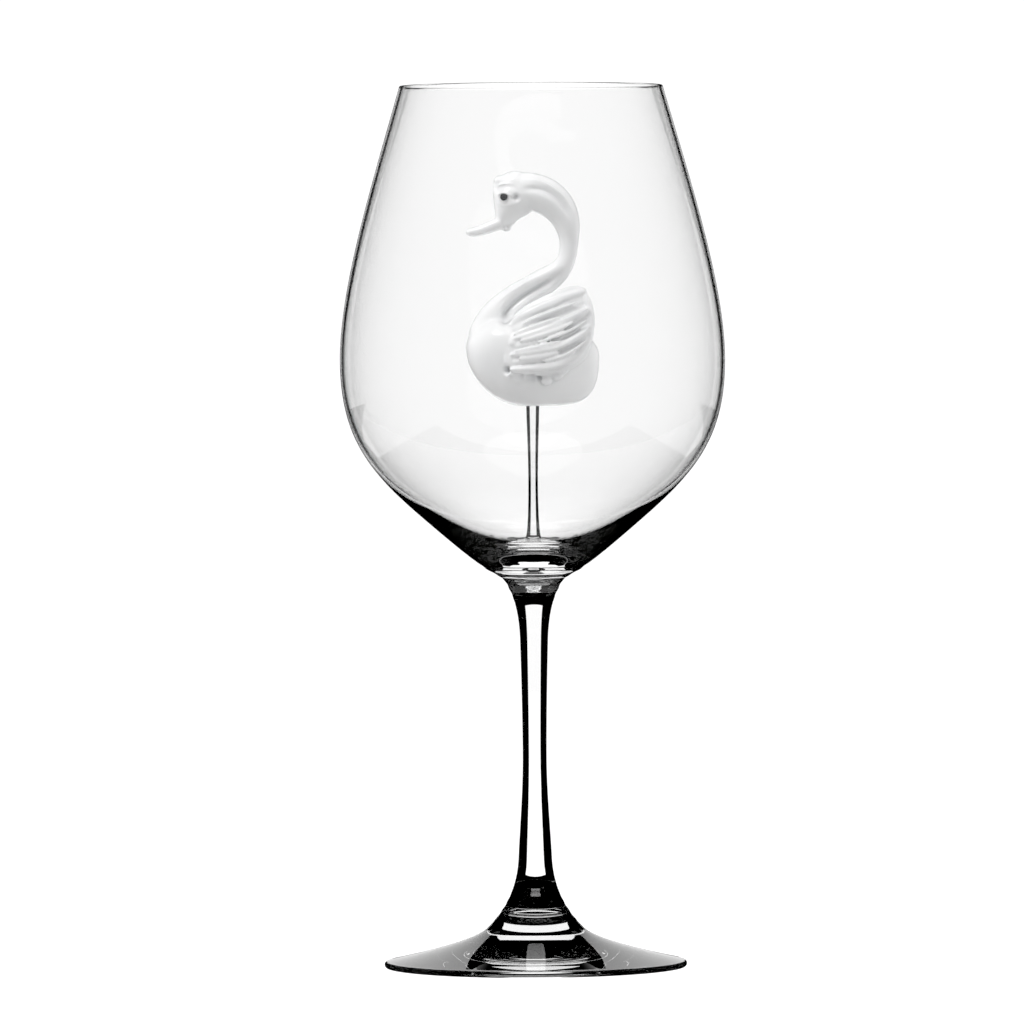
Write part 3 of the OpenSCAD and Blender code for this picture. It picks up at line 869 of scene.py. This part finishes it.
# Seen through the glass: walls, ground and sky. The ground rises from the glass to the window.
WALL_X, WALL_END = 0.12, 0.33
SKY_Y, SKY_Z = 0.9, 0.258
GROUND, RISE, GAP, GROUND_NEAR = -0.121, 0.055, 0.044, -0.043
GROUND_BACK = ((GAP, 0.0), (0.05, 0.045), (0.022, 0.06), (WIDE, WINDOW_Y), (OUT, WINDOW_Y),
               (OUT, 0.0))
# Mirrored in the glass: a wall beside it, reflectors further out, and a shelf at the collar's
# height that is dark next to the stem, so that bowl and foot mirror different things
MIRROR_X, MIRROR_NEAR, MIRROR_SIDE, MIRROR_END = 0.058, 0.006, 0.3, 0.75
REFLECTOR_FULL = 0.15
SHELF, SHELF_X, SHELF_Y, SHELF_END = -0.0245, 0.1, -0.07, 0.15
OPEN_X, OPEN_Y, OPEN_FULL, OPEN_NONE = 0.065, 0.07, 0.022, 0.036
LOW_WING_X, LOW_WALL_END = 0.085, 0.35
MIRROR_WALL = ((MIRROR_NEAR, SHELF), (0.12, SHELF), (0.3, 0.06), (WINDOW_Y, 0.2), (WINDOW_Y, TOP),
               (MIRROR_NEAR, TOP))
dark = dark_card_material()
reflector = reflector_material(REFLECTOR_FULL, MIRROR_END)
lit_top = lit_top_material()
open_below = open_below_material(OPEN_FULL, OPEN_NONE)


def card(name, corners, material=dark, mirrored=False):
    verts = [(x - AIM.x, z, -CAM_DIST - y) for x, y, z in corners]
    obj = new_object(name, verts, [tuple(range(len(corners)))], False)
    obj.parent = cam
    on_stage(obj, material, mirrored, not mirrored)


def upright(name, x0, y0, x1, y1, low, top, *looks):
    card(name, [(x0, y0, low), (x1, y1, low), (x1, y1, top), (x0, y0, top)], *looks)


def level(name, x0, x1, y0, y1, z, *looks):
    card(name, [(x0, y0, z), (x1, y0, z), (x1, y1, z), (x0, y1, z)], *looks)


for name, s in (("left", -1), ("right", 1)):
    side_x, shelf_x = s * MIRROR_SIDE, s * SHELF_X
    upright("wall_" + name, s * WALL_X, FRONT, s * WALL_X, WALL_END, LOW, TOP)
    upright("wing_" + name, s * WIDE, WINDOW_Y, s * OUT, WINDOW_Y, LOW, TOP)
    level("ground_front_" + name, s * GAP, s * OUT, FRONT, 0.0, GROUND)
    card("ground_back_" + name, [(s * x, y, GROUND + y * RISE) for x, y in GROUND_BACK])
    card("mirror_wall_" + name, [(s * MIRROR_X, y, z) for y, z in MIRROR_WALL], dark, True)
    upright("mirror_side_" + name, side_x, FRONT, side_x, MIRROR_END, SHELF, TOP, reflector, True)
    level("mirror_shelf_" + name, *sorted((shelf_x, s * OUT)), FRONT, SHELF_END, SHELF,
          lit_top, True)
    upright("mirror_low_wing_" + name, s * LOW_WING_X, WINDOW_Y, s * OUT, WINDOW_Y, LOW, SHELF,
            dark, True)
    level("mirror_shelf_far_" + name, *sorted((s * OPEN_X, shelf_x)), OPEN_Y, SHELF_END, SHELF,
          dark, True)
    upright("mirror_low_wall_" + name, shelf_x, 0.0, shelf_x, LOW_WALL_END, LOW, SHELF, dark, True)
    upright("mirror_low_" + name, side_x, FRONT, side_x, WINDOW_Y, LOW, SHELF, dark, True)
level("ground_front", -GAP, GAP, FRONT, GROUND_NEAR, GROUND)
upright("sky", -OUT, SKY_Y, OUT, SKY_Y, SKY_Z, TOP)
level("ceiling", -OUT, OUT, FRONT, SKY_Y, TOP)
upright("front", -OUT, FRONT, OUT, FRONT, LOW, TOP)
level("mirror_shelf", -SHELF_X, SHELF_X, SHELF_Y, OPEN_Y, SHELF, dark, True)
level("mirror_shelf_far", -OPEN_X, OPEN_X, OPEN_Y, SHELF_END, SHELF, open_below, True)
level("mirror_shelf_front", -SHELF_X, SHELF_X, FRONT, SHELF_Y, SHELF, lit_top, True)
upright("mirror_front", -MIRROR_SIDE, FRONT, MIRROR_SIDE, FRONT, SHELF, TOP, reflector, True)
upright("mirror_front_low", -OUT, FRONT, OUT, FRONT, LOW, SHELF, dark, True)

# A dark table top that only the glass sees in mirror images, and below the foot a dark disc that
# # the glass sees through itself: a painted shadow that stands in for the shade under the foot
FOOT_SHADOW_R, TABLE_R, TABLE_SIDES = 0.08, 0.45, 64


def table_disc(name, radius, mirrored):
    verts = [(radius * math.cos(a), radius * math.sin(a), FLOOR_DROP / 2)
             for a in around(TABLE_SIDES)]
    on_stage(new_object(name, verts, [tuple(range(TABLE_SIDES))], False), dark, mirrored,
             not mirrored)


# Painted shadow: a dark disc under the foot, seen only through the glass
table_disc("painted_foot_shadow", FOOT_SHADOW_R, False)
table_disc("mirror_table", TABLE_R, True)

# Lamps for the milky swan and the floor: name, place, size and brightness. The clear glass takes
# its light from the window and the cards, so the lamps leave no spots on it.
LAMPS = (("lamp_table", (0, 0, 0.002), 0.9, 0.5),
         ("lamp_key", (-0.35, -0.3, 0.95), 0.3, 19),
         ("lamp_front", (0.25, -1.0, 0.35), 0.22, 17),
         ("lamp_rim_left", (-0.8, 0.3, 0.25), 0.7, 3.5),
         ("lamp_rim_right", (0.8, 0.3, 0.25), 0.7, 3.8))
LAMP_AIM = Vector((0, 0, 0.185))
lit = bpy.data.collections.new("lit_by_lamps")
for obj in (swan, *eyes, floor):
    lit.objects.link(obj)


def lamp(name, at, size, brightness):
    """A soft square lamp that points at the swan. Its face has the given brightness, where a
    white surround has 1."""
    data = bpy.data.lights.new(name, "AREA")
    data.size = size
    data.energy = brightness * math.pi * size * size
    # With this on, the bowl would hold back a part of the light
    data.cycles.use_multiple_importance_sampling = False
    obj = placed(name, data)
    obj.location = at
    obj.rotation_mode = "QUATERNION"
    obj.rotation_quaternion = (LAMP_AIM - Vector(at)).to_track_quat("-Z", "Y")
    obj.visible_camera = False
    obj.light_linking.receiver_collection = lit


for one_lamp in LAMPS:
    lamp(*one_lamp)
